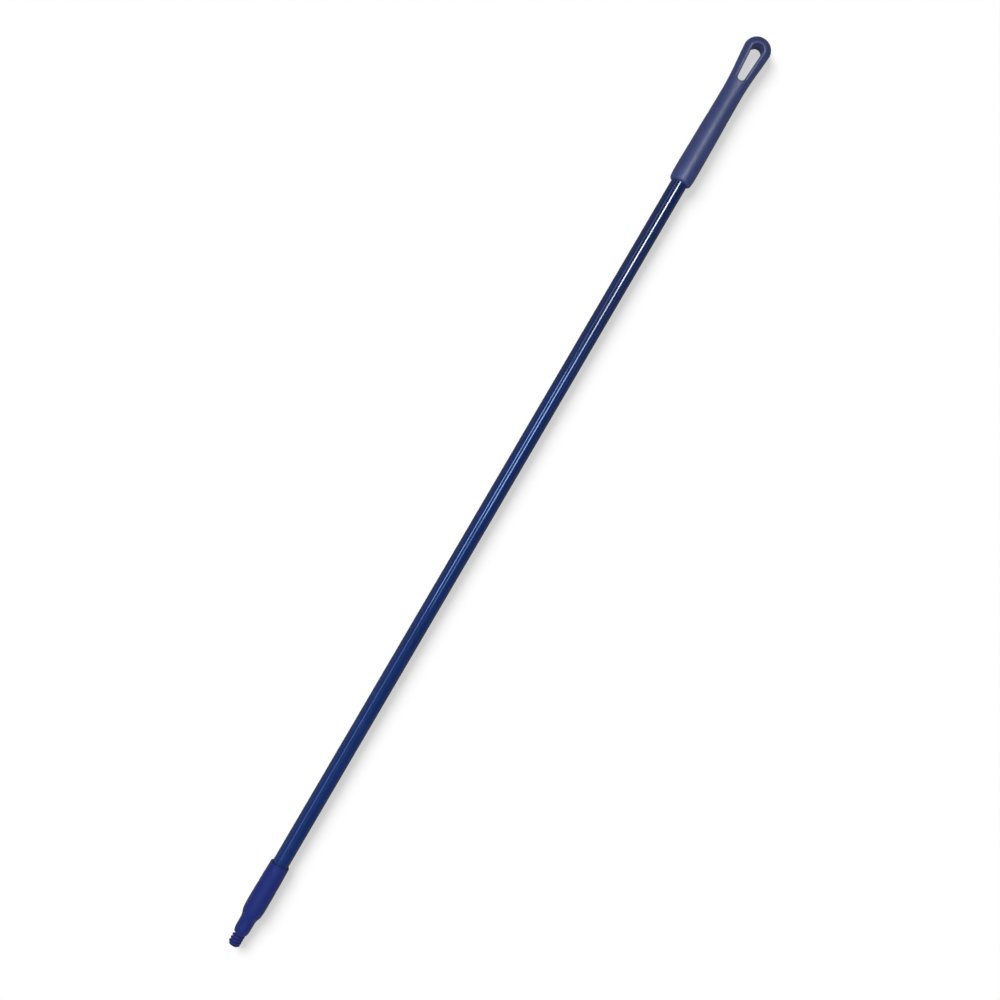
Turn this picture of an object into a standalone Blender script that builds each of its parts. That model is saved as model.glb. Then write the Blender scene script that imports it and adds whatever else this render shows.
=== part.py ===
"""Threaded utility pole: a painted tube with a moulded hand grip and a screw tip.

Every piece is modelled in the frame of the empty "pole_axis". Its +Z runs along the
pole from the threaded end to the hanging loop, so a station is a distance from the
threaded end. Its +X is the world's +Y, across the pole, and its +Y is the world's +Z,
up. The pole lies on its side on z = 0, and the world's origin is below its middle.
"""

import math

import bmesh
import bpy
from mathutils import Vector

MM = 0.001

# Overall
POLE_LENGTH = 1573.5 * MM
SIDES = 30  # of every round piece: a corner at each side and a flat at top and bottom
FIT_GAP = 0.3 * MM  # the adhesive film or clearance between neighbouring pieces
AXIS_GAP = 0.01 * MM  # points nearer than this are one point
LEAD_IN = 1.5 * MM  # chamfer of what is pushed into the tube

# Tube
TUBE_RADIUS = 12.7 * MM
TUBE_WALL = 1.0 * MM
TUBE_START = 63.5 * MM
TUBE_END = 1485.9 * MM

# Screw thread of the tip: 3/4-5 ACME, right hand
THREAD_PITCH = 5.08 * MM
THREAD_MAJOR = 9.525 * MM
THREAD_MINOR = 6.86 * MM
THREAD_CREST = 1.88 * MM
THREAD_FLANK = math.radians(14.5)
THREAD_TURNS = 4
THREAD_STEPS = 30  # a turn
THREAD_CHAMFER = 2.7 * MM
THREAD_SINK = 0.6 * MM  # how deep the tooth's foot sits in the core
FIRST_CREST = 4.4 * MM  # station of the first crest, on the +Y side
CORE_CHAMFER = 0.5 * MM  # of the core's end

# Outside of the tip: stations and radii
TIP_STOP = 20 * MM  # flat ring that the tool's socket stops against
TIP_STOP_RADIUS = 8.9 * MM
TIP_COLLAR = 11.75 * MM
TIP_MOUTH = 140.1 * MM
TIP_MOUTH_RADIUS = 15.15 * MM
TIP_LIP = 1.4 * MM
TIP_LIP_STEPS = 4
TIP_BODY_STEPS = 22
TIP_NOSE_STEPS = 6
TIP_OUTLINE = (
    (31.5 * MM, TIP_COLLAR),
    (43.5 * MM, 11.9 * MM),
    (48.5 * MM, 12.75 * MM),
    (53.5 * MM, 14.6 * MM),
    (59.5 * MM, 15.65 * MM),
    (75.5 * MM, 16.1 * MM),
    (107.5 * MM, 15.8 * MM),
    (TIP_MOUTH - TIP_LIP, TIP_MOUTH_RADIUS),
)

# Inside of the tip
SPIGOT_END = 121.5 * MM
SPIGOT_BORE = 8.2 * MM
SPIGOT_BORE_START = 59.5 * MM
CORE_BORE = 3.2 * MM
CORE_BORE_START = 12 * MM
CORE_BORE_END = 47.5 * MM

# Grip: stations with the half width across the pole
GRIP_START = 1323.5 * MM
GRIP_LIP = 4 * MM
GRIP_LIP_FOOT = 13.5 * MM  # radius where the lip meets the flat end ring
GRIP_LIP_STEPS = 5
GRIP_HANDLE_STEPS = 9
GRIP_FLARE_STEPS = 14
GRIP_WIDTHS = (
    (GRIP_START + GRIP_LIP, 17.1 * MM),
    (1338.5 * MM, 17.85 * MM),
    (1397.5 * MM, 17.25 * MM),
    (1481.5 * MM, 16.1 * MM),
    (1509.5 * MM, 17.25 * MM),
    (1535.5 * MM, 19.6 * MM),
    (1554.5 * MM, 21.15 * MM),
)
GRIP_BORE_END = 1488.5 * MM
GRIP_BORE_OVERRUN = 5 * MM  # how far the bore's cutter runs out of the mouth
ROUND_END = 1459.5 * MM  # the grip is round up to here
LOOP_START = 1509.5 * MM  # and has the loop's section from here
LOOP_DEPTH = 15.8 * MM  # half the loop's thickness
LOOP_SQUARENESS = 2.4  # exponent of the section's superellipse, 2 when round
LOOP_CENTRE = 1554.5 * MM  # of the round end
LOOP_END_POWER = 2.6
LOOP_END_STEPS = 9
LOOP_END_FLAT = 0.4  # of a step, left as a small flat at the very end

# Hole of the loop: a slot that widens towards the end
HOLE_NEAR = 1504.2 * MM
HOLE_NEAR_RADIUS = 5.5 * MM
HOLE_FAR = 1551.3 * MM
HOLE_FAR_RADIUS = 8.4 * MM
HOLE_RIM = 2.8 * MM  # radius of the rim's rounding
HOLE_RIM_ANGLES = (0, 20, 40, 58, 74)
HOLE_FAR_STEPS = 18
HOLE_NEAR_STEPS = 14
HOLE_FLARE = 5 * MM  # how far the cutter runs on outwards past the rim
HOLE_REACH = LOOP_DEPTH + 4 * MM  # half the cutter's height

# Bung in the tube's upper end
BUNG_START = 1421.5 * MM
BUNG_FLANGE = 2 * MM
BUNG_WALL = 2.8 * MM

# Spring pins, which lie across the pole
PIN_RADIUS = 2 * MM
PIN_WALL = 0.6 * MM
PIN_SLOT = math.radians(30)  # angle left open
PIN_ARC_STEPS = 14
PIN_HOLE_SIDES = 18
PIN_HOLE_DEPTH = 60 * MM  # of the cutter, past both sides of the pole
TIP_PIN_STATION = 101.5 * MM
TIP_PIN_LENGTH = 31 * MM
GRIP_PIN_STATION = 1437.5 * MM
GRIP_PIN_LENGTH = 32.2 * MM

# Materials: colour, roughness, metallic
PAINT_BLUE = ((0.012, 0.035, 0.16, 1), 0.22, 0.3)
GRIP_BLUE = ((0.035, 0.04, 0.15, 1), 0.5, 0.0)
TIP_BLUE = ((0.022, 0.035, 0.24, 1), 0.45, 0.0)
BUNG_BLACK = ((0.02, 0.02, 0.022, 1), 0.6, 0.0)
PIN_STEEL = ((0.55, 0.55, 0.57, 1), 0.35, 0.95)


def clear_scene():
    for item in list(bpy.data.objects):
        bpy.data.objects.remove(item, do_unlink=True)


def new_collection(name):
    collection = bpy.data.collections.new(name)
    bpy.context.scene.collection.children.link(collection)
    return collection


def new_material(name, look):
    colour, roughness, metallic = look
    material = bpy.data.materials.new(name)
    material.use_nodes = True
    material.diffuse_color = colour
    shader = material.node_tree.nodes["Principled BSDF"]
    shader.inputs["Base Color"].default_value = colour
    shader.inputs["Roughness"].default_value = roughness
    shader.inputs["Metallic"].default_value = metallic
    return material


def add_object(name, data, place):
    """Put mesh or curve data in the scene, in the pole's own frame."""
    collection, axis = place
    item = bpy.data.objects.new(name, data)
    collection.objects.link(item)
    item.parent = axis
    return item


def finish_piece(item, material):
    item.data.materials.clear()
    item.data.materials.append(material)
    if item.type == "MESH":
        item.data.shade_smooth()
        item.data.set_sharp_from_angle(angle=math.radians(32))


def finish_cutter(item):
    item.hide_render = True
    item.display_type = "WIRE"


def mesh_from(name, points, faces=(), edges=()):
    mesh = bpy.data.meshes.new(name)
    mesh.from_pydata([Vector(point) for point in points], edges, faces)
    return mesh


def turned(name, profile, place, closed=False):
    """A profile of (radius, station) pairs turned round the pole's axis."""
    points = [(radius, 0, station) for radius, station in profile]
    edges = [(i, i + 1) for i in range(len(points) - 1)]
    if closed:
        edges.append((len(points) - 1, 0))
    item = add_object(name, mesh_from(name, points, edges=edges), place)
    screw = item.modifiers.new("turn", "SCREW")
    screw.steps = SIDES
    screw.render_steps = SIDES
    screw.use_merge_vertices = True
    screw.merge_threshold = AXIS_GAP
    return item


def boolean(item, other, operation):
    modifier = item.modifiers.new(other.name, "BOOLEAN")
    modifier.object = other
    modifier.operation = operation
    modifier.solver = "EXACT"


def curve_value(points, station):
    """Read a smooth curve through (station, value) points."""
    stations = [point[0] for point in points]
    values = [point[1] for point in points]
    last = len(points) - 1
    span = next((i for i in range(last) if station <= stations[i + 1]), last - 1)

    def slope(i):
        before, after = max(i - 1, 0), min(i + 1, last)
        return (values[after] - values[before]) / (stations[after] - stations[before])

    width = stations[span + 1] - stations[span]
    t = min(max((station - stations[span]) / width, 0), 1)
    return (
        values[span] * (2 * t**3 - 3 * t**2 + 1)
        + values[span + 1] * (3 * t**2 - 2 * t**3)
        + slope(span) * width * (t**3 - 2 * t**2 + t)
        + slope(span + 1) * width * (t**3 - t**2)
    )


def spaced(first, last, steps):
    return [first + (last - first) * i / steps for i in range(steps + 1)]


def ease(t):
    t = min(max(t, 0), 1)
    return t * t * (3 - 2 * t)


# Threaded tip


def tip_outside():
    """The tip's outside from the mouth down to the end face, as (radius, station)."""
    foot = TIP_MOUTH_RADIUS - TIP_LIP
    lip = [
        (foot + TIP_LIP * math.sin(angle), TIP_MOUTH - TIP_LIP + TIP_LIP * math.cos(angle))
        for angle in spaced(0, math.pi / 2, TIP_LIP_STEPS)
    ]
    first, last = TIP_OUTLINE[0][0], TIP_OUTLINE[-1][0]
    body = [(curve_value(TIP_OUTLINE, s), s) for s in spaced(last, first, TIP_BODY_STEPS)[1:]]
    rise, reach = TIP_COLLAR - TIP_STOP_RADIUS, TIP_OUTLINE[0][0] - TIP_STOP
    nose = [
        (
            TIP_STOP_RADIUS + rise * math.cos(angle),
            TIP_STOP + reach - reach * math.sin(angle),
        )
        for angle in spaced(0, math.pi / 2, TIP_NOSE_STEPS)[1:]
    ]
    core = [
        (THREAD_MINOR, TIP_STOP),
        (THREAD_MINOR, CORE_CHAMFER),
        (THREAD_MINOR - CORE_CHAMFER, 0),
    ]
    return lip + body + nose + core


def tip_inside():
    """The hollow spigot and the slot that takes the tube, as (radius, station)."""
    spigot = TUBE_RADIUS - TUBE_WALL - FIT_GAP
    slot_foot = TUBE_START - FIT_GAP
    return [
        (0, CORE_BORE_START),
        (CORE_BORE, CORE_BORE_START),
        (CORE_BORE, CORE_BORE_END),
        (SPIGOT_BORE, SPIGOT_BORE_START),
        (SPIGOT_BORE, SPIGOT_END),
        (spigot - LEAD_IN, SPIGOT_END),
        (spigot, SPIGOT_END - LEAD_IN),
        (spigot, slot_foot),
        (TUBE_RADIUS + FIT_GAP, slot_foot),
        (TUBE_RADIUS + FIT_GAP, TIP_MOUTH),
    ]


def thread_tooth(place):
    """The thread's tooth: a trapezium swept along a helix and trimmed by a chamfered bar."""
    root = THREAD_MINOR - THREAD_SINK
    half_crest = THREAD_CREST / 2
    half_root = half_crest + (THREAD_MAJOR - root) * math.tan(THREAD_FLANK)
    # half a step round, so that no corner of the tooth lies over a corner of the core
    phase = math.pi / THREAD_STEPS
    start = FIRST_CREST + THREAD_PITCH * (phase / (2 * math.pi) - 2)
    section = [
        (root, start + half_root),
        (THREAD_MAJOR, start + half_crest),
        (THREAD_MAJOR, start - half_crest),
        (root, start - half_root),
    ]
    profile = [(r * math.cos(phase), r * math.sin(phase), s) for r, s in section]
    edges = [(0, 1), (1, 2), (2, 3), (3, 0)]
    helix = add_object("helix", mesh_from("helix", profile, edges=edges), place)
    screw = helix.modifiers.new("sweep", "SCREW")
    screw.angle = 2 * math.pi
    screw.screw_offset = THREAD_PITCH
    screw.iterations = THREAD_TURNS + 1
    screw.steps = THREAD_STEPS
    screw.render_steps = THREAD_STEPS
    bpy.context.view_layer.update()
    swept = bpy.data.meshes.new_from_object(
        helix.evaluated_get(bpy.context.evaluated_depsgraph_get())
    )
    bpy.data.objects.remove(helix)
    ends = bmesh.new()
    ends.from_mesh(swept)
    bmesh.ops.remove_doubles(ends, verts=ends.verts, dist=AXIS_GAP)
    bmesh.ops.holes_fill(ends, edges=ends.edges, sides=0)
    bmesh.ops.recalc_face_normals(ends, faces=ends.faces)
    ends.to_mesh(swept)
    ends.free()
    tooth = add_object("thread_tooth", swept, place)
    margin = 0.4 * MM
    bar_end = TIP_STOP + 2 * margin
    bar_foot = 0.05 * MM
    bar = turned(
        "thread_bar",
        [
            (0, bar_end),
            (THREAD_MAJOR + margin, bar_end),
            (THREAD_MAJOR + margin, THREAD_CHAMFER + margin),
            (THREAD_MAJOR - THREAD_CHAMFER + bar_foot, bar_foot),
            (0, bar_foot),
        ],
        place,
    )
    boolean(tooth, bar, "INTERSECT")
    finish_cutter(bar)
    finish_cutter(tooth)
    return tooth


def make_tip(parts, cutters, material, pin_hole):
    tip = turned("threaded_tip", tip_inside() + tip_outside() + [(0, 0)], parts)
    boolean(tip, thread_tooth(cutters), "UNION")
    boolean(tip, pin_hole, "DIFFERENCE")
    finish_piece(tip, material)


# Tube and bung


def make_tube(parts, material, pin_holes):
    inner = TUBE_RADIUS - TUBE_WALL
    profile = [
        (TUBE_RADIUS, TUBE_END),
        (TUBE_RADIUS, TUBE_START),
        (inner, TUBE_START),
        (inner, TUBE_END),
    ]
    tube = turned("pole_tube", profile, parts, closed=True)
    for hole in pin_holes:
        boolean(tube, hole, "DIFFERENCE")
    finish_piece(tube, material)


def make_bung(parts, material, pin_hole):
    """A hollow plug, open below, with a flange over the tube's end."""
    radius = TUBE_RADIUS - TUBE_WALL - FIT_GAP
    bore = radius - BUNG_WALL
    seat = TUBE_END + FIT_GAP
    bung = turned(
        "tube_bung",
        [
            (0, seat + BUNG_FLANGE),
            (TUBE_RADIUS, seat + BUNG_FLANGE),
            (TUBE_RADIUS, seat),
            (radius, seat),
            (radius, BUNG_START + LEAD_IN),
            (radius - LEAD_IN, BUNG_START),
            (bore, BUNG_START),
            (bore, seat - BUNG_FLANGE),
            (0, seat - BUNG_FLANGE),
        ],
        parts,
    )
    boolean(bung, pin_hole, "DIFFERENCE")
    finish_piece(bung, material)


# Hand grip


def grip_section(station):
    """Half width, half depth and squareness of the grip's section."""
    if station < GRIP_START + GRIP_LIP:
        rise = GRIP_WIDTHS[0][1] - GRIP_LIP_FOOT
        share = (GRIP_START + GRIP_LIP - station) / GRIP_LIP
        radius = GRIP_LIP_FOOT + rise * math.sqrt(max(1 - share**2, 0))
        return radius, radius, 2
    share = ease((station - ROUND_END) / (LOOP_START - ROUND_END))
    squareness = 2 + (LOOP_SQUARENESS - 2) * share
    width = curve_value(GRIP_WIDTHS, station)
    depth = width + (LOOP_DEPTH - width) * share
    if station > LOOP_CENTRE:
        past = (station - LOOP_CENTRE) / (POLE_LENGTH - LOOP_CENTRE)
        width *= math.sqrt(max(1 - past**2, 0))
        depth *= max(1 - past**LOOP_END_POWER, 0) ** (1 / LOOP_END_POWER)
    return width, depth, squareness


def grip_height(station, across):
    """Height of the grip's surface above the pole's axis."""
    width, depth, squareness = grip_section(station)
    share = min(abs(across) / width, 1)
    return depth * (1 - share**squareness) ** (1 / squareness)


def grip_ring(station, shape_station):
    width, depth, squareness = grip_section(shape_station)
    ring = []
    for corner in range(SIDES):
        angle = 2 * math.pi * corner / SIDES
        across, up = math.cos(angle), math.sin(angle)
        ring.append(
            (
                width * math.copysign(abs(across) ** (2 / squareness), across),
                depth * math.copysign(abs(up) ** (2 / squareness), up),
                station,
            )
        )
    return ring


def loft(name, rings, place):
    """Skin closed rings of equal size, in order along the pole, and close both ends."""
    count = len(rings[0])
    points = [point for ring in rings for point in ring]
    faces = [tuple(reversed(range(count)))]
    for row in range(len(rings) - 1):
        low, high = row * count, (row + 1) * count
        for i in range(count):
            j = (i + 1) % count
            faces.append((low + i, low + j, high + j, high + i))
    faces.append(tuple(range(len(points) - count, len(points))))
    return add_object(name, mesh_from(name, points, faces=faces), place)


def grip_body(place):
    lip = [
        GRIP_START + GRIP_LIP * (1 - math.cos(angle))
        for angle in spaced(0, math.pi / 2, GRIP_LIP_STEPS)
    ]
    handle = spaced(GRIP_START + GRIP_LIP, ROUND_END, GRIP_HANDLE_STEPS)[1:]
    flare = spaced(ROUND_END, LOOP_CENTRE, GRIP_FLARE_STEPS)[1:]
    rings = [grip_ring(s, s) for s in lip + handle + flare]

    def end_station(step):
        turn = math.pi / 2 * step / LOOP_END_STEPS
        return LOOP_CENTRE + (POLE_LENGTH - LOOP_CENTRE) * math.sin(turn)

    for step in range(1, LOOP_END_STEPS):
        rings.append(grip_ring(end_station(step), end_station(step)))
    rings.append(grip_ring(POLE_LENGTH, end_station(LOOP_END_STEPS - LOOP_END_FLAT)))
    return loft("hand_grip", rings, place)


def hole_outline():
    """Points of the slot's wall and their outward directions, both as (across, station)."""
    spread = math.asin((HOLE_FAR_RADIUS - HOLE_NEAR_RADIUS) / (HOLE_FAR - HOLE_NEAR))
    outline = []
    for angle in spaced(-spread, math.pi + spread, HOLE_FAR_STEPS):
        outward = (math.cos(angle), math.sin(angle))
        outline.append((HOLE_FAR, HOLE_FAR_RADIUS, outward))
    for angle in spaced(math.pi + spread, 2 * math.pi - spread, HOLE_NEAR_STEPS):
        outward = (math.cos(angle), math.sin(angle))
        outline.append((HOLE_NEAR, HOLE_NEAR_RADIUS, outward))
    return [
        ((radius * outward[0], centre + radius * outward[1]), outward)
        for centre, radius, outward in outline
    ]


def rim_levels(wall, outward):
    """One side's rim at a point of the slot's wall, as (across, station, height)."""
    edge = [wall[i] + HOLE_RIM * outward[i] for i in range(2)]
    top = grip_height(edge[1], edge[0])
    levels = []
    for degrees in HOLE_RIM_ANGLES:
        angle = math.radians(degrees)
        out = HOLE_RIM * (1 - math.cos(angle))
        height = top - HOLE_RIM * (1 - math.sin(angle))
        levels.append((wall[0] + out * outward[0], wall[1] + out * outward[1], height))
    across, station, height = levels[-1]
    out = HOLE_FLARE
    height += out / math.tan(math.radians(HOLE_RIM_ANGLES[-1]))
    across, station = across + out * outward[0], station + out * outward[1]
    levels.append((across, station, height))
    levels.append((across, station, HOLE_REACH))
    return levels


def hole_cutter(place):
    """The slot with a rounded rim on both faces of the loop, lofted from side to side."""
    columns = [rim_levels(wall, outward) for wall, outward in hole_outline()]
    count = len(columns[0])
    rings = []
    for level in reversed(range(count)):
        rings.append([(c[level][0], -c[level][2], c[level][1]) for c in columns])
    for level in range(count):
        rings.append([(c[level][0], c[level][2], c[level][1]) for c in columns])
    cutter = loft("loop_hole", rings, place)
    tidy = bmesh.new()
    tidy.from_mesh(cutter.data)
    bmesh.ops.recalc_face_normals(tidy, faces=tidy.faces)
    tidy.to_mesh(cutter.data)
    tidy.free()
    finish_cutter(cutter)
    return cutter


def make_grip(parts, cutters, material, pin_hole):
    grip = grip_body(parts)
    bore = turned(
        "grip_bore",
        [
            (0, GRIP_BORE_END),
            (TUBE_RADIUS + FIT_GAP, GRIP_BORE_END),
            (TUBE_RADIUS + FIT_GAP, GRIP_START - GRIP_BORE_OVERRUN),
            (0, GRIP_START - GRIP_BORE_OVERRUN),
        ],
        cutters,
    )
    finish_cutter(bore)
    boolean(grip, bore, "DIFFERENCE")
    boolean(grip, hole_cutter(cutters), "DIFFERENCE")
    boolean(grip, pin_hole, "DIFFERENCE")
    finish_piece(grip, material)


# Spring pins


def pin_outline():
    """The slotted pin's section: an open ring."""
    inner = PIN_RADIUS - PIN_WALL
    first, last = PIN_SLOT / 2, 2 * math.pi - PIN_SLOT / 2
    outside = [(PIN_RADIUS, angle) for angle in spaced(first, last, PIN_ARC_STEPS)]
    inside = [(inner, angle) for angle in spaced(last, first, PIN_ARC_STEPS)]
    return [(r * math.cos(a), r * math.sin(a)) for r, a in outside + inside]


def make_pin(name, station, length, parts, material):
    curve = bpy.data.curves.new(name, "CURVE")
    curve.dimensions = "2D"
    curve.fill_mode = "BOTH"
    curve.extrude = length / 2
    outline = pin_outline()
    spline = curve.splines.new("POLY")
    spline.points.add(len(outline) - 1)
    for point, (x, y) in zip(spline.points, outline):
        point.co = (x, y, 0, 1)
    spline.use_cyclic_u = True
    pin = add_object(name, curve, parts)
    pin.location = (0, 0, station)
    pin.rotation_euler = (0, math.pi / 2, 0)
    finish_piece(pin, material)


def pin_hole(name, station, cutters):
    bpy.ops.mesh.primitive_cylinder_add(
        vertices=PIN_HOLE_SIDES, radius=PIN_RADIUS + FIT_GAP, depth=PIN_HOLE_DEPTH
    )
    hole = bpy.context.object
    hole.name = name
    collection, axis = cutters
    for holder in list(hole.users_collection):
        holder.objects.unlink(hole)
    collection.objects.link(hole)
    hole.parent = axis
    hole.location = (0, 0, station)
    hole.rotation_euler = (0, math.pi / 2, 0)
    finish_cutter(hole)
    return hole


def main():
    clear_scene()
    axis = bpy.data.objects.new("pole_axis", None)
    bpy.context.scene.collection.objects.link(axis)
    # the grip's widest ring stands on z = 0 on the flat below it
    widest = max(width for _, width in GRIP_WIDTHS[:3])
    axis.location = (-POLE_LENGTH / 2, 0, widest * math.cos(math.pi / SIDES))
    axis.rotation_euler = (math.pi / 2, 0, math.pi / 2)

    parts = (new_collection("threaded_pole"), axis)
    cutters = (new_collection("cutters"), axis)
    paint = new_material("blue_paint", PAINT_BLUE)
    grip_plastic = new_material("grip_plastic", GRIP_BLUE)
    tip_plastic = new_material("tip_plastic", TIP_BLUE)
    bung_plastic = new_material("bung_plastic", BUNG_BLACK)
    steel = new_material("pin_steel", PIN_STEEL)

    tip_hole = pin_hole("tip_pin_hole", TIP_PIN_STATION, cutters)
    grip_hole = pin_hole("grip_pin_hole", GRIP_PIN_STATION, cutters)
    make_tip(parts, cutters, tip_plastic, tip_hole)
    make_tube(parts, paint, (tip_hole, grip_hole))
    make_bung(parts, bung_plastic, grip_hole)
    make_grip(parts, cutters, grip_plastic, grip_hole)
    make_pin("tip_pin", TIP_PIN_STATION, TIP_PIN_LENGTH, parts, steel)
    make_pin("grip_pin", GRIP_PIN_STATION, GRIP_PIN_LENGTH, parts, steel)


main()
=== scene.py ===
"""Looks of the threaded utility pole: fine meshes, materials, floor, lights and camera.

Every piece is built in the pole's own frame. Its +Z runs along the pole from the
threaded end, so a station is a distance from that end. Its +X is the world's +Y,
across the pole, and its +Y is up.
"""

import math

import bmesh
import bpy
from mathutils import Euler, Matrix, Vector


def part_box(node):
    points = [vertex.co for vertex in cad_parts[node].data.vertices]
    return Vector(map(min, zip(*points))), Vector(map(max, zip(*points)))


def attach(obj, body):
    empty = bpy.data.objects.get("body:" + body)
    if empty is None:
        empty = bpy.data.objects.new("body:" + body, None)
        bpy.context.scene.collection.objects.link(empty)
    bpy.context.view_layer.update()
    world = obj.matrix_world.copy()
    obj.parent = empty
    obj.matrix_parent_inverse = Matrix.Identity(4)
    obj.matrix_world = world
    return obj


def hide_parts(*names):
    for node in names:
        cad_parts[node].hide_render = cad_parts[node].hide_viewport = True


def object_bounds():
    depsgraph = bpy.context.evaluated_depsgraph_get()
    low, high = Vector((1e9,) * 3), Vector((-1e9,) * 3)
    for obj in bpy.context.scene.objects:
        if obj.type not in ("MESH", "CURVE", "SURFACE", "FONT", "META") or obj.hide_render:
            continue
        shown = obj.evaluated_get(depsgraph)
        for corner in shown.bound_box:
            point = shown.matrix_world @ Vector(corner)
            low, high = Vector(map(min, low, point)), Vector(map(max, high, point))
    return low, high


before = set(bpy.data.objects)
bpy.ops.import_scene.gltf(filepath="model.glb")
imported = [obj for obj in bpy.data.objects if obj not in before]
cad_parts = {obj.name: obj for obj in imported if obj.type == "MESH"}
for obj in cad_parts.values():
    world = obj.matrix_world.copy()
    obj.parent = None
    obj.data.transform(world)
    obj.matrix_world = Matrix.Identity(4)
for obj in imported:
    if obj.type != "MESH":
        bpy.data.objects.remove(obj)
cad_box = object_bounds()

MM = 0.001

# Places read from the frame
TUBE_LOW, TUBE_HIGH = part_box("pole_tube")
POLE_START = cad_box[0].x
POLE_LENGTH = cad_box[1].x - POLE_START
AXIS_HEIGHT = (TUBE_LOW.z + TUBE_HIGH.z) / 2
TUBE_RADIUS = (TUBE_HIGH.y - TUBE_LOW.y) / 2
TUBE_START = TUBE_LOW.x - POLE_START
TUBE_END = TUBE_HIGH.x - POLE_START
POLE_FRAME = Matrix.Translation((POLE_START, 0, AXIS_HEIGHT)) @ (
    Euler((math.pi / 2, 0, math.pi / 2)).to_matrix().to_4x4()
)

# Shared by the pieces
ROUND_STEPS = 96  # sides of a round piece
JOIN_GAP = 0.001 * MM  # points nearer than this are one point
CUT_JOIN_GAP = 0.004 * MM  # the same where a Boolean has cut
SHARP_ANGLE = math.radians(38)  # a steeper edge keeps its crease
FIT_GAP = 0.3 * MM  # left free between two pieces
EDGE_BREAK = 0.25 * MM  # the small chamfer that takes off a sharp edge
LEAD_IN = 1.5 * MM  # the long chamfer that guides one piece into another
TUBE_WALL = 1.0 * MM

# Parting line of the two mouldings: a fine raised line down both sides
PARTING_HEIGHT = 0.14 * MM
PARTING_SHAPE = ((-1.3, 0), (-0.6, 0.7), (0, 1), (0.6, 0.7), (1.3, 0))  # degrees, share

# Screw thread of the tip
THREAD_PITCH = 5.08 * MM
THREAD_MAJOR = 9.525 * MM
THREAD_MINOR = 6.86 * MM
THREAD_CREST = 1.88 * MM
THREAD_FLANK = math.radians(14.5)
THREAD_TURNS = 5
THREAD_STEPS = 72  # of one turn
THREAD_CHAMFER = 2.7 * MM
THREAD_SINK = 0.6 * MM  # how far the tooth reaches into the core
CREST_STATION = 4.4 * MM
CREST_TURNS = 2  # of the helix, before its crest comes to that station
BAR_MARGIN = 0.4 * MM  # by which the bar that trims the tooth is bigger than the thread
BAR_FOOT = 0.05 * MM  # station where that bar starts
CORE_CHAMFER = 0.5 * MM

# Outside of the tip: stations and radii
TIP_STOP = 20 * MM
TIP_STOP_RADIUS = 8.9 * MM
TIP_COLLAR = 11.75 * MM
TIP_MOUTH = 140.1 * MM
TIP_MOUTH_RADIUS = 15.15 * MM
TIP_LIP = 1.4 * MM
TIP_OUTLINE = (
    (31.5 * MM, TIP_COLLAR),
    (43.5 * MM, 11.9 * MM),
    (48.5 * MM, 12.75 * MM),
    (53.5 * MM, 14.6 * MM),
    (59.5 * MM, 15.65 * MM),
    (75.5 * MM, 16.1 * MM),
    (107.5 * MM, 15.8 * MM),
    (TIP_MOUTH - TIP_LIP, TIP_MOUTH_RADIUS),
)
TIP_LIP_STEPS = 8
TIP_BODY_STEPS = 80
TIP_NOSE_STEPS = 16

# Inside of the tip
SPIGOT_END = 121.5 * MM
SPIGOT_BORE = 8.2 * MM
SPIGOT_BORE_START = 59.5 * MM
CORE_BORE = 3.2 * MM
CORE_BORE_START = 12 * MM
CORE_BORE_END = 47.5 * MM

# Grip: stations with the half width across the pole
GRIP_START = 1323.5 * MM
GRIP_LIP = 4 * MM
GRIP_LIP_FOOT = 13.5 * MM
ROUND_END = 1459.5 * MM  # the section is round up to here
LOOP_START = 1509.5 * MM  # and the loop's own from here
LOOP_CENTRE = 1554.5 * MM
GRIP_WIDTHS = (
    (GRIP_START + GRIP_LIP, 17.1 * MM),
    (1338.5 * MM, 17.85 * MM),
    (1397.5 * MM, 17.25 * MM),
    (1481.5 * MM, 16.1 * MM),
    (LOOP_START, 17.25 * MM),
    (1535.5 * MM, 19.6 * MM),
    (LOOP_CENTRE, 21.15 * MM),
)
GRIP_BORE_END = 1488.5 * MM
GRIP_BORE_OVERRUN = 5 * MM  # of the cutter, past the grip's mouth
LOOP_DEPTH = 15.8 * MM  # half the loop's depth
LOOP_SQUARENESS = 2.4  # power of its section, where 2 is an ellipse
LOOP_END_POWER = 2.6  # the same, of the end's outline seen from the side
GRIP_LIP_STEPS = 12
GRIP_HANDLE_STEPS = 40
GRIP_FLARE_STEPS = 60
GRIP_END_STEPS = 30
GRIP_END_FLAT = 0.4  # of a step, left as a small flat at the very end

# Hole of the loop: a slot with two round ends, which widens towards the far one
HOLE_NEAR = 1504.2 * MM
HOLE_NEAR_RADIUS = 5.5 * MM
HOLE_FAR = 1551.3 * MM
HOLE_FAR_RADIUS = 8.4 * MM
HOLE_LAND = 0.4 * MM  # half the depth of the upright band at the parting line
HOLE_DRAFT = 0.7 * MM  # how far the wall leans back on its way up to the rim
HOLE_RIM = 1.3 * MM  # radius of the rim's turn
HOLE_CREST = 1.8 * MM  # width of the level band on top of the rim
HOLE_CREST_TURN = math.radians(14)  # the band narrows to nothing where the rim turns less past it
HOLE_RIM_LEFT = math.radians(9)  # of the rim's turn, left to the edge where it meets the grip
HOLE_RIM_STEPS = 12
HOLE_RIM_ROUNDS = 8  # of working out where the rim meets the grip
HOLE_SIDE_STEPS = 16
HOLE_FAR_STEPS = 44
HOLE_NEAR_STEPS = 32
HOLE_FLARE = 4 * MM  # of the cutter, past the rim
HOLE_REACH = LOOP_DEPTH + 4 * MM  # half the cutter's height

# Bung in the tube's upper end
BUNG_START = 1421.5 * MM
BUNG_FLANGE = 2 * MM
BUNG_WALL = 2.8 * MM

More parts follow.
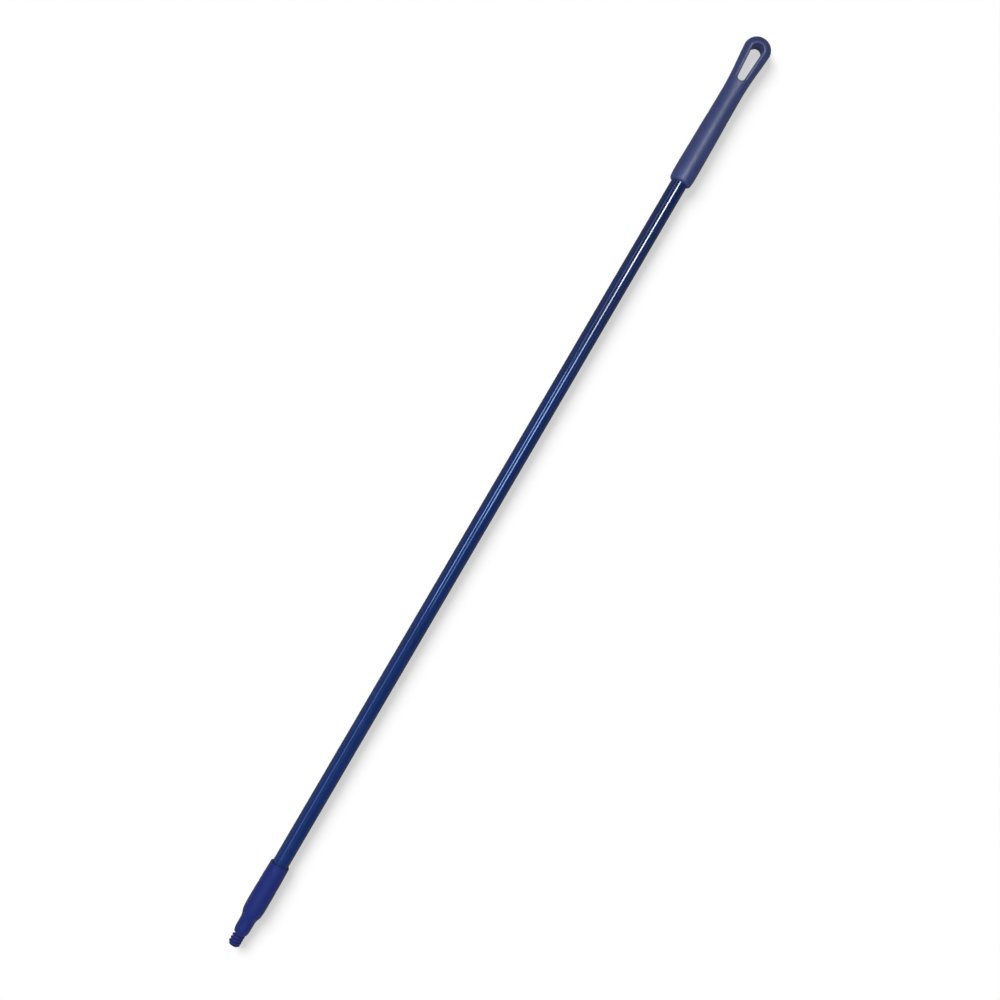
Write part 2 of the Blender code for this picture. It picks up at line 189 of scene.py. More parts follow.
# Spring pins across the pole
PIN_RADIUS = 2 * MM
PIN_WALL = 0.6 * MM
PIN_SLOT = math.radians(30)
PIN_STEPS = 28
PIN_CHAMFER = 0.4 * MM
TIP_PIN = (101.5 * MM, 31 * MM)  # station and length
GRIP_PIN = (1437.5 * MM, 32.2 * MM)
PIN_HOLE_STEPS = 36
PIN_HOLE_DEPTH = 60 * MM

# Camera, straight above the pole
CAMERA_PLACE = (-9.1 * MM, -8.2 * MM)
CAMERA_HEIGHT = 2.02  # above the pole's axis
CAMERA_FIELD = 1.5  # seen across, at the height of the axis
CAMERA_TURN = math.radians(-59.64)

# White backdrop and the table under it, in metres
BACKDROP_RADIUS = 7
BACKDROP_COVE = 1.5  # radius of the curve from the floor up to the wall
BACKDROP_COVE_STEPS = 12
BACKDROP_TOP = 8
BACKDROP_GREY = 0.5
BACKDROP_GLOW = 0.585
TABLE_SIZE = 5
TABLE_GREY = 0.2

# Lights, in metres: name, place, size, radiance and, for a strip, its colour
WHITE = (1, 1, 1)
SKY = (0.37, 0.58, 1.0)
DEEP_SKY = (0.25, 0.44, 1.0)
LIGHT_HEIGHT = 2.03
STRIPS = (
    ("key", (1.05, -0.22), (0.66, 0.5), 17.5, WHITE),
    ("key_low_end", (0.63, -0.28), (0.18, 0.46), 9.5, WHITE),
    ("right_strip", (0.23, -0.3), (0.62, 0.42), 12.5, SKY),
    ("right_low_strip", (-0.23, -0.3), (0.3, 0.42), 4.6, DEEP_SKY),
    ("left_high_strip", (0.9, 1.6), (0.7, 0.5), 1.6, WHITE),
    ("left_strip", (0.02, 1.15), (0.86, 0.42), 10.5, SKY),
    ("left_low_strip", (-0.88, 1.15), (0.94, 0.42), 3.6, DEEP_SKY),
    ("right_far_strip", (0.85, -2.8), (0.9, 0.9), 1.0, SKY),
)
FILLS = (
    ("fill", (-0.15, 0.3, LIGHT_HEIGHT), (2.7, 2.4), 1.85),
    ("low_fill", (-0.9, 0.25, 1.2), (0.8, 1.2), 3),
)
SUN_STRENGTH = 3.05
SUN_SPREAD = math.radians(36)
SUN_TOWARDS = (0.577, 1, 1.483)  # where it stands, seen from the pole


# Shapes


def spaced(first, last, steps):
    """Evenly spaced numbers from first to last."""
    return [first + (last - first) * i / steps for i in range(steps + 1)]


def ease(t):
    """Rise smoothly from 0 to 1 while t does."""
    t = min(max(t, 0), 1)
    return t * t * (3 - 2 * t)


def curve_value(points, station):
    """Value at a station of a smooth curve through (station, value) points."""
    stations = [point[0] for point in points]
    values = [point[1] for point in points]
    last = len(points) - 1
    span = next((i for i in range(last) if station <= stations[i + 1]), last - 1)

    def slope(i):
        before, after = max(i - 1, 0), min(i + 1, last)
        return (values[after] - values[before]) / (stations[after] - stations[before])

    width = stations[span + 1] - stations[span]
    t = min(max((station - stations[span]) / width, 0), 1)
    return (
        values[span] * (2 * t**3 - 3 * t**2 + 1)
        + values[span + 1] * (3 * t**2 - 2 * t**3)
        + slope(span) * width * (t**3 - 2 * t**2 + t)
        + slope(span + 1) * width * (t**3 - t**2)
    )


def add_object(name, shape):
    """Turn a bmesh into an object that stands in the pole's frame."""
    mesh = bpy.data.meshes.new(name)
    shape.to_mesh(mesh)
    shape.free()
    item = bpy.data.objects.new(name, mesh)
    bpy.context.scene.collection.objects.link(item)
    item.matrix_world = POLE_FRAME
    return item


def skin(name, rings, ends="caps"):
    """Join closed rings of equal size, in order. Their ends are capped or joined to each other."""
    shape = bmesh.new()
    rows = [[shape.verts.new(point) for point in ring] for ring in rings]
    count = len(rings[0])
    pairs = list(zip(rows, rows[1:]))
    if ends == "joined":
        pairs.append((rows[-1], rows[0]))
    else:
        shape.faces.new(reversed(rows[0]))
        shape.faces.new(rows[-1])
    for low, high in pairs:
        for i in range(count):
            j = (i + 1) % count
            shape.faces.new((low[i], low[j], high[j], high[i]))
    bmesh.ops.remove_doubles(shape, verts=shape.verts, dist=JOIN_GAP)
    bmesh.ops.recalc_face_normals(shape, faces=shape.faces)
    return add_object(name, shape)


def ring_angles(moulded):
    """Angles round a ring with each one's share of the parting line's height."""
    if not moulded:
        return [(angle, 0) for angle in spaced(0, 2 * math.pi, ROUND_STEPS)[:-1]]
    step = 2 * math.pi / ROUND_STEPS
    angles = []
    for side in (0, math.pi):
        for degrees, share in PARTING_SHAPE:
            angles.append((side + math.radians(degrees), share))
        for i in range(1, ROUND_STEPS // 2):
            angles.append((side + i * step, 0))
    return sorted(angles)


def turned(name, profile, ends="caps", moulded=()):
    """Turn (radius, station) pairs round the axis. Stations in moulded have a parting line."""
    angles = ring_angles(bool(moulded))
    rings = []
    for radius, station in profile:
        ring = []
        for angle, share in angles:
            out = radius
            if (radius, station) in moulded:
                out += PARTING_HEIGHT * share
            ring.append((out * math.cos(angle), out * math.sin(angle), station))
        rings.append(ring)
    return skin(name, rings, ends)


def arc(centre, radius, first, last, steps):
    """Points of an arc as (radius, station). Angle 0 points outwards and 90 degrees up the pole."""
    return [
        (centre[0] + radius * math.cos(angle), centre[1] + radius * math.sin(angle))
        for angle in spaced(first, last, steps)
    ]


def combine(item, other, operation):
    """Apply a Boolean with another object, clean its edges, and remove that object."""
    modifier = item.modifiers.new(other.name, "BOOLEAN")
    modifier.object = other
    modifier.operation = operation
    modifier.solver = "EXACT"
    graph = bpy.context.evaluated_depsgraph_get()
    result = bpy.data.meshes.new_from_object(item.evaluated_get(graph))
    shape = bmesh.new()
    shape.from_mesh(result)
    bmesh.ops.remove_doubles(shape, verts=shape.verts, dist=CUT_JOIN_GAP)
    bmesh.ops.dissolve_degenerate(shape, edges=shape.edges, dist=JOIN_GAP)
    shape.to_mesh(result)
    shape.free()
    item.modifiers.clear()
    item.data = result
    bpy.data.objects.remove(other)


def pin_hole(station):
    """A cylinder across the pole, as a cutter for a spring pin's hole."""
    radius = PIN_RADIUS + FIT_GAP
    rings = [
        [
            (depth, radius * math.cos(angle), station + radius * math.sin(angle))
            for angle in spaced(0, 2 * math.pi, PIN_HOLE_STEPS)[:-1]
        ]
        for depth in (-PIN_HOLE_DEPTH / 2, PIN_HOLE_DEPTH / 2)
    ]
    return skin("pin_hole", rings)


def finish_piece(item, material, slot, *nodes):
    """Shade a piece, and let it stand for its CAD nodes."""
    item.data.materials.clear()
    item.data.materials.append(material)
    item.data.shade_smooth()
    item.data.set_sharp_from_angle(angle=SHARP_ANGLE)
    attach(item, "root")
    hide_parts(*nodes)
    return item


# Tube, tip and bung


def make_tube(material):
    """The plain tube, with a hole across it for each pin."""
    inner = TUBE_RADIUS - TUBE_WALL
    profile = [
        (TUBE_RADIUS - EDGE_BREAK, TUBE_END),
        (TUBE_RADIUS, TUBE_END - EDGE_BREAK),
        (TUBE_RADIUS, TUBE_START + EDGE_BREAK),
        (TUBE_RADIUS - EDGE_BREAK, TUBE_START),
        (inner, TUBE_START),
        (inner, TUBE_END),
    ]
    tube = turned("painted_tube", profile, ends="joined")
    combine(tube, pin_hole(TIP_PIN[0]), "DIFFERENCE")
    combine(tube, pin_hole(GRIP_PIN[0]), "DIFFERENCE")
    return finish_piece(tube, material, "blue_paint", "pole_tube")


def tip_outside():
    """The tip's outside from the mouth down to the stop, as (radius, station)."""
    foot = TIP_MOUTH_RADIUS - TIP_LIP
    lip = arc((foot, TIP_MOUTH - TIP_LIP), TIP_LIP, math.pi / 2, 0, TIP_LIP_STEPS)
    first, last = TIP_OUTLINE[0][0], TIP_OUTLINE[-1][0]
    body = [(curve_value(TIP_OUTLINE, s), s) for s in spaced(last, first, TIP_BODY_STEPS)[1:]]
    rise, reach = TIP_COLLAR - TIP_STOP_RADIUS, first - TIP_STOP
    nose = [
        (TIP_STOP_RADIUS + rise * math.cos(a), TIP_STOP + reach - reach * math.sin(a))
        for a in spaced(0, math.pi / 2, TIP_NOSE_STEPS)[1:]
    ]
    return lip + body + nose


def tip_inside():
    """The hollow spigot and the slot that takes the tube, as (radius, station)."""
    spigot = TUBE_RADIUS - TUBE_WALL - FIT_GAP
    slot_foot = TUBE_START - FIT_GAP
    return [
        (0, CORE_BORE_START),
        (CORE_BORE, CORE_BORE_START),
        (CORE_BORE, CORE_BORE_END),
        (SPIGOT_BORE, SPIGOT_BORE_START),
        (SPIGOT_BORE, SPIGOT_END),
        (spigot - LEAD_IN, SPIGOT_END),
        (spigot, SPIGOT_END - LEAD_IN),
        (spigot, slot_foot),
        (TUBE_RADIUS + FIT_GAP, slot_foot),
        (TUBE_RADIUS + FIT_GAP, TIP_MOUTH - EDGE_BREAK),
        (TUBE_RADIUS + FIT_GAP + EDGE_BREAK, TIP_MOUTH),
    ]


def thread_tooth():
    """The thread's tooth: a trapezium swept along a helix and trimmed by a chamfered bar."""
    root = THREAD_MINOR - THREAD_SINK
    half_crest = THREAD_CREST / 2
    half_root = half_crest + (THREAD_MAJOR - root) * math.tan(THREAD_FLANK)
    shoulder = THREAD_MAJOR - EDGE_BREAK
    half_shoulder = half_crest + EDGE_BREAK * math.tan(THREAD_FLANK)
    section = [
        (root, half_root),
        (shoulder, half_shoulder),
        (THREAD_MAJOR, half_crest - EDGE_BREAK),
        (THREAD_MAJOR, EDGE_BREAK - half_crest),
        (shoulder, -half_shoulder),
        (root, -half_root),
    ]
    turn = 2 * math.pi / THREAD_STEPS
    rings = []
    for step in range(THREAD_TURNS * THREAD_STEPS + 1):
        # half a step round, so that no corner of the tooth lies over a corner of the core
        angle = (step + 0.5) * turn
        rise = CREST_STATION + THREAD_PITCH * (angle / (2 * math.pi) - CREST_TURNS)
        rings.append([(r * math.cos(angle), r * math.sin(angle), rise + s) for r, s in section])
    tooth = skin("thread_tooth", rings)
    bar_end = TIP_STOP + 2 * BAR_MARGIN
    bar_radius = THREAD_MAJOR + BAR_MARGIN
    bar = turned(
        "thread_bar",
        [
            (0, bar_end),
            (bar_radius, bar_end),
            (bar_radius, THREAD_CHAMFER + BAR_MARGIN),
            (THREAD_MAJOR - THREAD_CHAMFER + BAR_FOOT, BAR_FOOT),
            (0, BAR_FOOT),
        ],
    )
    combine(tooth, bar, "INTERSECT")
    return tooth


def make_tip(material):
    """The moulded tip: sleeve, shoulder and collar, with the thread on its core."""
    core = [
        (THREAD_MINOR, TIP_STOP),
        (THREAD_MINOR, CORE_CHAMFER),
        (THREAD_MINOR - CORE_CHAMFER, 0),
        (0, 0),
    ]
    outside = tip_outside()
    tip = turned("moulded_tip", tip_inside() + outside + core, moulded=outside)
    combine(tip, thread_tooth(), "UNION")
    combine(tip, pin_hole(TIP_PIN[0]), "DIFFERENCE")
    return finish_piece(tip, material, "tip_plastic", "threaded_tip")


def make_bung(material):
    """A hollow plug, open below, with a flange over the tube's end."""
    radius = TUBE_RADIUS - TUBE_WALL - FIT_GAP
    bore = radius - BUNG_WALL
    seat = TUBE_END + FIT_GAP
    bung = turned(
        "end_bung",
        [
            (0, seat + BUNG_FLANGE),
            (TUBE_RADIUS - EDGE_BREAK, seat + BUNG_FLANGE),
            (TUBE_RADIUS, seat + BUNG_FLANGE - EDGE_BREAK),
            (TUBE_RADIUS, seat),
            (radius, seat),
            (radius, BUNG_START + LEAD_IN),
            (radius - LEAD_IN, BUNG_START),
            (bore, BUNG_START),
            (bore, seat - BUNG_FLANGE),
            (0, seat - BUNG_FLANGE),
        ],
    )
    combine(bung, pin_hole(GRIP_PIN[0]), "DIFFERENCE")
    return finish_piece(bung, material, "bung_plastic", "tube_bung")


# Hand grip


def grip_section(station):
    """Half width, half depth and squareness of the grip's section."""
    if station < GRIP_START + GRIP_LIP:
        rise = GRIP_WIDTHS[0][1] - GRIP_LIP_FOOT
        share = (GRIP_START + GRIP_LIP - station) / GRIP_LIP
        radius = GRIP_LIP_FOOT + rise * math.sqrt(max(1 - share**2, 0))
        return radius, radius, 2
    share = ease((station - ROUND_END) / (LOOP_START - ROUND_END))
    squareness = 2 + (LOOP_SQUARENESS - 2) * share
    width = curve_value(GRIP_WIDTHS, station)
    depth = width + (LOOP_DEPTH - width) * share
    if station > LOOP_CENTRE:
        past = (station - LOOP_CENTRE) / (POLE_LENGTH - LOOP_CENTRE)
        width *= math.sqrt(max(1 - past**2, 0))
        depth *= max(1 - past**LOOP_END_POWER, 0) ** (1 / LOOP_END_POWER)
    return width, depth, squareness


def grip_height(station, across):
    """Height of the grip's surface above the pole's axis."""
    width, depth, squareness = grip_section(station)
    share = min(abs(across) / width, 1)
    return depth * (1 - share**squareness) ** (1 / squareness)


def grip_ring(station, shape_station):
    """A ring at one station with the section of another."""
    width, depth, squareness = grip_section(shape_station)
    ring = []
    for angle, share in ring_angles(moulded=True):
        across, up = math.cos(angle), math.sin(angle)
        out = width + PARTING_HEIGHT * share
        ring.append(
            (
                out * math.copysign(abs(across) ** (2 / squareness), across),
                depth * math.copysign(abs(up) ** (2 / squareness), up),
                station,
            )
        )
    return ring


def grip_body():
    """The grip's outside as one solid: lip, handle, flare and the loop's round end."""

    def end_station(step):
        turn = math.pi / 2 * step / GRIP_END_STEPS
        return LOOP_CENTRE + (POLE_LENGTH - LOOP_CENTRE) * math.sin(turn)

    turns = spaced(0, math.pi / 2, GRIP_LIP_STEPS)
    lip = [GRIP_START + GRIP_LIP * (1 - math.cos(turn)) for turn in turns]
    handle = spaced(GRIP_START + GRIP_LIP, ROUND_END, GRIP_HANDLE_STEPS)[1:]
    flare = spaced(ROUND_END, LOOP_CENTRE, GRIP_FLARE_STEPS)[1:]
    end = [end_station(step) for step in range(1, GRIP_END_STEPS)]
    rings = [grip_ring(station, station) for station in lip + handle + flare + end]
    rings.append(grip_ring(POLE_LENGTH, end_station(GRIP_END_STEPS - GRIP_END_FLAT)))
    return skin("moulded_grip", rings)


def hole_outline():
    """Points of the slot's wall and their outward directions, both as (across, station)."""
    lean = math.asin((HOLE_FAR_RADIUS - HOLE_NEAR_RADIUS) / (HOLE_FAR - HOLE_NEAR))

    def side(shares, angle):
        """A straight side, given by shares of the way from the far end to the near one."""
        return [
            (
                HOLE_FAR + (HOLE_NEAR - HOLE_FAR) * share,
                HOLE_FAR_RADIUS + (HOLE_NEAR_RADIUS - HOLE_FAR_RADIUS) * share,
                angle,
            )
            for share in shares[1:-1]
        ]

    outline = [
        (HOLE_FAR, HOLE_FAR_RADIUS, angle)
        for angle in spaced(-lean, math.pi + lean, HOLE_FAR_STEPS)
    ]
    outline += side(spaced(0, 1, HOLE_SIDE_STEPS), math.pi + lean)
    outline += [
        (HOLE_NEAR, HOLE_NEAR_RADIUS, angle)
        for angle in spaced(math.pi + lean, 2 * math.pi - lean, HOLE_NEAR_STEPS)
    ]
    outline += side(spaced(1, 0, HOLE_SIDE_STEPS), -lean)
    points = []
    for centre, radius, angle in outline:
        outward = Vector((math.cos(angle), math.sin(angle)))
        points.append((Vector((0, centre)) + radius * outward, outward))
    return points


def rim_levels(wall, outward):
    """One side's rim at a point of the slot's wall, as (across, station, height).

    The wall leans back from its upright band. The rim turns from there to its level crest,
    and on into the grip's outward slope.
    """

    def height_at(reach):
        point = wall + reach * outward
        return grip_height(point[1], point[0])

    slope = 0
    for _ in range(HOLE_RIM_ROUNDS):
        crest = HOLE_CREST * ease((slope - HOLE_RIM_LEFT) / HOLE_CREST_TURN)
        reach = HOLE_DRAFT + crest + HOLE_RIM * (1 + math.sin(slope))
        drop = height_at(reach - EDGE_BREAK) - height_at(reach + EDGE_BREAK)
        slope = math.atan(drop / (2 * EDGE_BREAK))
    centre = height_at(reach) - HOLE_RIM * math.cos(slope)
    last = math.pi / 2 + slope - HOLE_RIM_LEFT
    levels = [(*wall, HOLE_LAND)]
    top = min(math.pi / 2, last)
    inner = [(HOLE_DRAFT, angle) for angle in spaced(0, top, HOLE_RIM_STEPS)]
    outer = [(HOLE_DRAFT + crest, angle) for angle in spaced(top, last, HOLE_RIM_STEPS)]
    for foot, angle in inner + outer:
        point = wall + (foot + HOLE_RIM * (1 - math.cos(angle))) * outward
        levels.append((*point, centre + HOLE_RIM * math.sin(angle)))
    height = levels[-1][2] + HOLE_FLARE / math.tan(last)
    point += HOLE_FLARE * outward
    return levels + [(*point, height), (*point, HOLE_REACH)]


def hole_cutter():
    """The slot with a rounded rim on both faces of the loop, lofted from side to side."""
    columns = [rim_levels(wall, outward) for wall, outward in hole_outline()]
    rings = []
    for level in reversed(range(len(columns[0]))):
        rings.append([(c[level][0], -c[level][2], c[level][1]) for c in columns])
    for level in range(len(columns[0])):
        rings.append([(c[level][0], c[level][2], c[level][1]) for c in columns])
    return skin("loop_hole", rings)


def make_grip(material):
    """The grip, cut by the tube's bore, the loop's slot and the pin's hole."""
    grip = grip_body()
    radius = TUBE_RADIUS + FIT_GAP
    bore = turned(
        "grip_bore",
        [
            (0, GRIP_BORE_END),
            (radius, GRIP_BORE_END),
            (radius, GRIP_START + EDGE_BREAK),
            (radius + EDGE_BREAK + GRIP_BORE_OVERRUN, GRIP_START - GRIP_BORE_OVERRUN),
            (0, GRIP_START - GRIP_BORE_OVERRUN),
        ],
    )
    combine(grip, bore, "DIFFERENCE")
    combine(grip, hole_cutter(), "DIFFERENCE")
    combine(grip, pin_hole(GRIP_PIN[0]), "DIFFERENCE")
    return finish_piece(grip, material, "grip_plastic", "hand_grip")


# Spring pins


def make_pin(name, node, place, material):
    """A rolled pin: an open ring, drawn out along the pin, with chamfered ends."""
    station, length = place
    inner = PIN_RADIUS - PIN_WALL
    first, last = PIN_SLOT / 2, 2 * math.pi - PIN_SLOT / 2

    def section(radius, depth):
        outside = [(radius, angle) for angle in spaced(first, last, PIN_STEPS)]
        inside = [(inner, angle) for angle in spaced(last, first, PIN_STEPS)]
        return [
            (depth, r * math.sin(angle), station + r * math.cos(angle))
            for r, angle in outside + inside
        ]

    ends = length / 2
    rings = [
        section(PIN_RADIUS - PIN_CHAMFER, -ends),
        section(PIN_RADIUS, PIN_CHAMFER - ends),
        section(PIN_RADIUS, ends - PIN_CHAMFER),
        section(PIN_RADIUS - PIN_CHAMFER, ends),
    ]
    return finish_piece(skin(name, rings), material, "pin_steel", node)


# Materials


def new_material(name, constants):
    """A Principled material whose constant values are set on the shader's own sockets."""
    material = bpy.data.materials.new(name)
    material.use_nodes = True
    tree = material.node_tree
    shader = tree.nodes["Principled BSDF"]
    for socket, value in constants.items():
        shader.inputs[socket].default_value = value
    return material, tree, shader


def object_points(tree, stretch=(1, 1, 1)):
    """The object's own coordinates, which are the pole's frame, each axis times its stretch."""
    source = tree.nodes.new("ShaderNodeTexCoord")
    mapping = tree.nodes.new("ShaderNodeMapping")
    mapping.inputs["Scale"].default_value = stretch
    tree.links.new(source.outputs["Object"], mapping.inputs["Vector"])
    return mapping.outputs["Vector"]


def noise(tree, points, size, detail=3):
    """Noise whose blots are about this size."""
    node = tree.nodes.new("ShaderNodeTexNoise")
    node.inputs["Scale"].default_value = 1 / size
    node.inputs["Detail"].default_value = detail
    tree.links.new(points, node.inputs["Vector"])
    return node.outputs["Fac"]


def map_range(tree, value, reads, gives):
    """Map a value from one range to another."""
    node = tree.nodes.new("ShaderNodeMapRange")
    for socket, number in zip(("From Min", "From Max", "To Min", "To Max"), (*reads, *gives)):
        node.inputs[socket].default_value = number
    tree.links.new(value, node.inputs["Value"])
    return node.outputs["Result"]


def total(tree, one, other):
    """Sum of two values."""
    node = tree.nodes.new("ShaderNodeMath")
    node.operation = "ADD"
    tree.links.new(one, node.inputs[0])
    tree.links.new(other, node.inputs[1])
    return node.outputs["Value"]


def blend_colours(tree, share, one, other):
    """Blend two colours, each a plain colour or another node's output."""
    node = tree.nodes.new("ShaderNodeMix")
    node.data_type = "RGBA"
    for socket, colour in (("A", one), ("B", other)):
        if isinstance(colour, tuple):
            node.inputs[socket].default_value = (*colour, 1)
        else:
            tree.links.new(colour, node.inputs[socket])
    tree.links.new(share, node.inputs["Factor"])
    return node.outputs["Result"]


def bump(tree, height, depth, below=None):
    """A bump of this depth, laid over another one if there is one below."""
    node = tree.nodes.new("ShaderNodeBump")
    node.inputs["Strength"].default_value = 1
    node.inputs["Distance"].default_value = depth
    tree.links.new(height, node.inputs["Height"])
    if below:
        tree.links.new(below, node.inputs["Normal"])
    return node.outputs["Normal"]


def blue_paint():
    """Gloss paint with faint orange peel, uneven depth of colour and fine rubbing marks."""
    constants = {"Metallic": 0.0, "IOR": 1.5, "Coat Weight": 0.8, "Coat Roughness": 0.05}
    material, tree, shader = new_material("tube_gloss_paint", constants)
    points = object_points(tree)
    cloud = map_range(tree, noise(tree, points, 45 * MM), (0.35, 0.65), (0, 1))
    colour = blend_colours(tree, cloud, (0.0042, 0.0245, 0.134), (0.0052, 0.0285, 0.152))
    rubbed = noise(tree, object_points(tree, (1, 1, 0.02)), 1.2 * MM, detail=2)
    marks = map_range(tree, rubbed, (0.62, 0.75), (0, 0.1))
    base = map_range(tree, noise(tree, points, 20 * MM), (0.3, 0.7), (0.13, 0.19))
    peel = bump(tree, noise(tree, points, 2.5 * MM, detail=1), 0.003 * MM)
    tree.links.new(colour, shader.inputs["Base Color"])
    tree.links.new(total(tree, base, marks), shader.inputs["Roughness"])
    tree.links.new(peel, shader.inputs["Normal"])
    return material


def moulded_plastic(name, deep, pale, roughness, grain, gloss=0.5):
    """Satin plastic with the fine spark texture of its mould and soft flow mottling."""
    constants = {"Metallic": 0.0, "IOR": 1.48, "Specular IOR Level": gloss, "Sheen Weight": 0.15}
    material, tree, shader = new_material(name, constants)
    points = object_points(tree)
    cloud = map_range(tree, noise(tree, points, 14 * MM, detail=4), (0.32, 0.68), (0, 1))
    finish = map_range(tree, noise(tree, points, 6 * MM, detail=4), (0.3, 0.7), roughness)
    soft = bump(tree, noise(tree, points, 9 * MM, detail=2), 0.05 * MM)
    fine = bump(tree, noise(tree, points, 0.5 * MM, detail=3), grain, below=soft)
    tree.links.new(blend_colours(tree, cloud, deep, pale), shader.inputs["Base Color"])
    tree.links.new(finish, shader.inputs["Roughness"])
    tree.links.new(fine, shader.inputs["Normal"])
    return material


def pin_steel():
    """Spring steel with drawing lines along the pin, which lies across the pole."""
    material, tree, shader = new_material("pin_spring_steel", {"Metallic": 0.95})
    lines = noise(tree, object_points(tree, (0.05, 1, 1)), 0.25 * MM)
    tint = map_range(tree, lines, (0.3, 0.7), (0, 1))
    colour = blend_colours(tree, tint, (0.42, 0.42, 0.44), (0.6, 0.6, 0.62))
    tree.links.new(colour, shader.inputs["Base Color"])
    tree.links.new(map_range(tree, lines, (0.3, 0.7), (0.28, 0.45)), shader.inputs["Roughness"])
    tree.links.new(bump(tree, lines, 0.02 * MM), shader.inputs["Normal"])
    return material


# Studio


def make_backdrop(height):
    """The white floor and the wall that it curves up into, which only the camera sees."""
    cove = BACKDROP_COVE
    flat = BACKDROP_RADIUS - cove
    profile = [(0, 0), (flat, 0)]
    for angle in spaced(-math.pi / 2, 0, BACKDROP_COVE_STEPS)[1:]:
        profile.append((flat + cove * math.cos(angle), cove + cove * math.sin(angle)))
    profile.append((BACKDROP_RADIUS, BACKDROP_TOP))
    shape = bmesh.new()
    points = [shape.verts.new((across, 0, up)) for across, up in profile]
    edges = [shape.edges.new(pair) for pair in zip(points, points[1:])]
    bmesh.ops.spin(
        shape,
        geom=points + edges,
        axis=(0, 0, 1),
        angle=2 * math.pi,
        steps=ROUND_STEPS,
        use_merge=True,
    )
    bmesh.ops.remove_doubles(shape, verts=shape.verts, dist=MM)
    backdrop = add_object("backdrop", shape)
    backdrop.matrix_world = Matrix.Translation((0, 0, height))
    backdrop.data.shade_smooth()
    white = plain_material("backdrop_white", BACKDROP_GREY, glow=BACKDROP_GLOW)
    backdrop.data.materials.append(white)
    backdrop.visible_glossy = False
    backdrop.visible_diffuse = False
    backdrop.visible_shadow = False
    return backdrop


def make_table(height):
    """The pale grey table just under the white floor, which the pole mirrors."""
    bpy.ops.mesh.primitive_plane_add(size=TABLE_SIZE, location=(0, 0, height - MM))
    table = bpy.context.object
    table.name = "table"
    table.data.materials.append(plain_material("table_grey", TABLE_GREY))
    table.visible_camera = False
    return table


def plain_material(name, grey, glow=0.0):
    """A matt grey without any shine, which may glow white."""
    constants = {
        "Base Color": (grey, grey, grey, 1),
        "Roughness": 0.9,
        "Specular IOR Level": 0.0,
        "Emission Color": (1, 1, 1, 1),
        "Emission Strength": glow,
    }
    return new_material(name, constants)[0]


def make_world():
    """A dim room: grey round the horizon, more so on the +Y side, and darker overhead."""
    world = bpy.data.worlds.new("room")
    world.use_nodes = True
    tree = world.node_tree
    source = tree.nodes.new("ShaderNodeTexCoord")
    parts = tree.nodes.new("ShaderNodeSeparateXYZ")
    tree.links.new(source.outputs["Generated"], parts.inputs["Vector"])
    side = map_range(tree, parts.outputs["Y"], (-0.6, 0.6), (0, 1))
    horizon = blend_colours(tree, side, (0.09, 0.09, 0.1), (0.3, 0.3, 0.31))
    height = map_range(tree, parts.outputs["Z"], (0.0, 0.7), (0, 1))
    colour = blend_colours(tree, height, horizon, (0.05, 0.05, 0.06))
    tree.links.new(colour, tree.nodes["Background"].inputs["Color"])
    bpy.context.scene.world = world


def new_collection(name, items):
    """A collection of the objects that a light falls on."""
    collection = bpy.data.collections.new(name)
    bpy.context.scene.collection.children.link(collection)
    for item in items:
        collection.objects.link(item)
    return collection


def add_light(light, place, receivers):
    """Place a light that falls on its receivers alone and isn't seen itself."""
    item = bpy.data.objects.new(light.name, light)
    bpy.context.scene.collection.objects.link(item)
    item.location = place
    item.visible_camera = False
    item.light_linking.receiver_collection = receivers
    return item


def make_softbox(name, place, size, radiance, colour, receivers):
    """A softbox that faces straight down. Its power follows from its size and radiance."""
    light = bpy.data.lights.new(name, "AREA")
    light.shape = "RECTANGLE"
    light.size, light.size_y = size
    light.energy = radiance * size[0] * size[1] * math.pi
    light.color = colour
    return add_light(light, place, receivers)


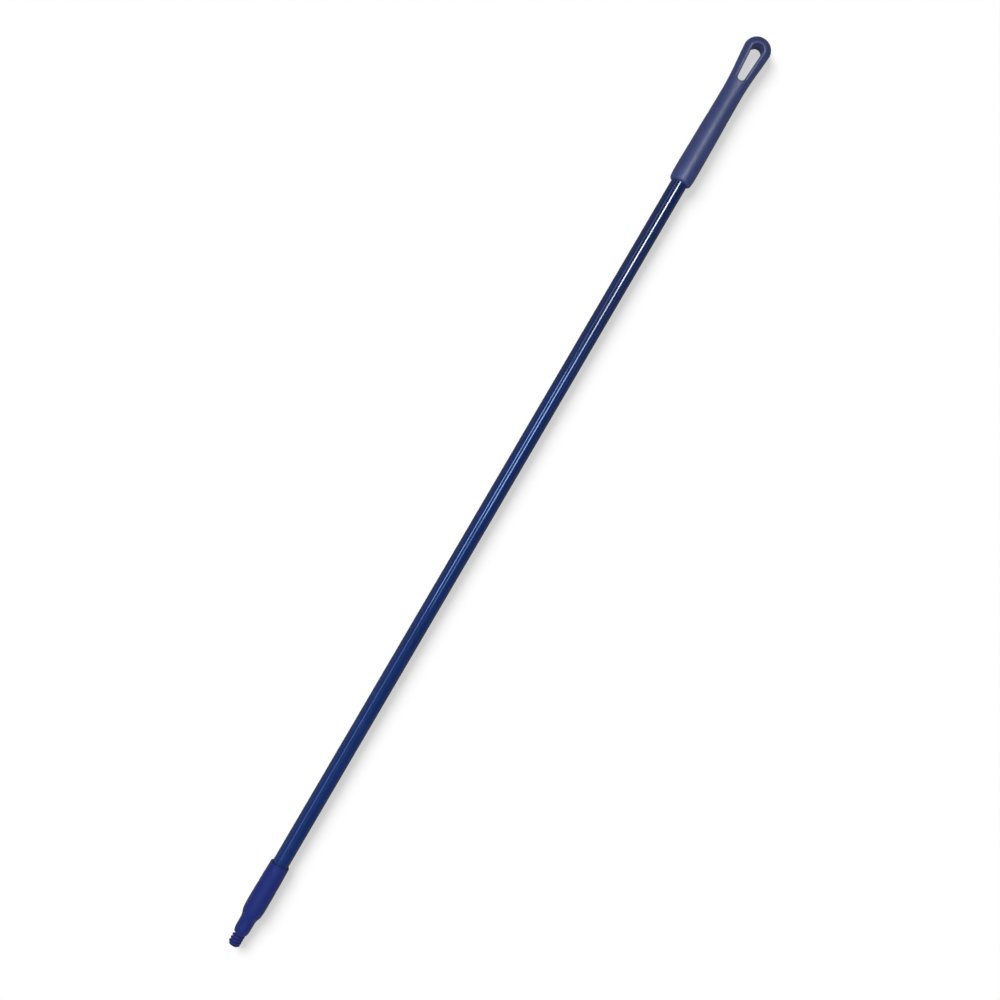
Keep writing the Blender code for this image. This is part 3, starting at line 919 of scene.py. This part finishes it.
def make_lights(pieces, stage):
    """Strips that the pole mirrors as long lines, fills that it doesn't, and a sun for the floor."""
    for name, place, size, radiance, colour in STRIPS:
        strip = make_softbox(name, (*place, LIGHT_HEIGHT), size, radiance, colour, pieces)
        strip.visible_diffuse = False
    for name, place, size, radiance in FILLS:
        fill = make_softbox(name, place, size, radiance, WHITE, pieces)
        fill.visible_glossy = False
    light = bpy.data.lights.new("soft_sun", "SUN")
    light.energy = SUN_STRENGTH
    light.angle = SUN_SPREAD
    sun = add_light(light, (0, 0, 0), stage)
    sun.rotation_euler = Vector(SUN_TOWARDS).to_track_quat("Z", "Y").to_euler()


def make_camera():
    """The camera, which looks straight down and is turned so that the pole lies as in the photo."""
    data = bpy.data.cameras.new("camera")
    data.angle = 2 * math.atan(CAMERA_FIELD / 2 / CAMERA_HEIGHT)
    camera = bpy.data.objects.new("camera", data)
    bpy.context.scene.collection.objects.link(camera)
    camera.location = (*CAMERA_PLACE, AXIS_HEIGHT + CAMERA_HEIGHT)
    camera.rotation_euler = (0, 0, CAMERA_TURN)
    bpy.context.scene.camera = camera


def main():
    make_camera()
    paint = blue_paint()
    steel = pin_steel()
    grip_plastic = moulded_plastic(
        "grip_satin_plastic",
        deep=(0.041, 0.068, 0.25),
        pale=(0.049, 0.078, 0.28),
        roughness=(0.44, 0.54),
        grain=0.02 * MM,
        gloss=0.8,
    )
    tip_plastic = moulded_plastic(
        "tip_satin_plastic",
        deep=(0.01, 0.0225, 0.165),
        pale=(0.012, 0.026, 0.185),
        roughness=(0.42, 0.5),
        grain=0.015 * MM,
        gloss=0.15,
    )
    bung_plastic = moulded_plastic(
        "bung_matte_plastic",
        deep=(0.018, 0.018, 0.02),
        pale=(0.024, 0.024, 0.026),
        roughness=(0.55, 0.65),
        grain=0.02 * MM,
    )
    pieces = [
        make_tube(paint),
        make_tip(tip_plastic),
        make_bung(bung_plastic),
        make_grip(grip_plastic),
        make_pin("tip_spring_pin", "tip_pin", TIP_PIN, steel),
        make_pin("grip_spring_pin", "grip_pin", GRIP_PIN, steel),
    ]
    visual_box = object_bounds()
    floor_height = visual_box[0].z
    stage = [make_backdrop(floor_height), make_table(floor_height)]
    make_world()
    make_lights(new_collection("pole_pieces", pieces), new_collection("stage", stage))
    bpy.context.scene.view_settings.view_transform = "Standard"


main()
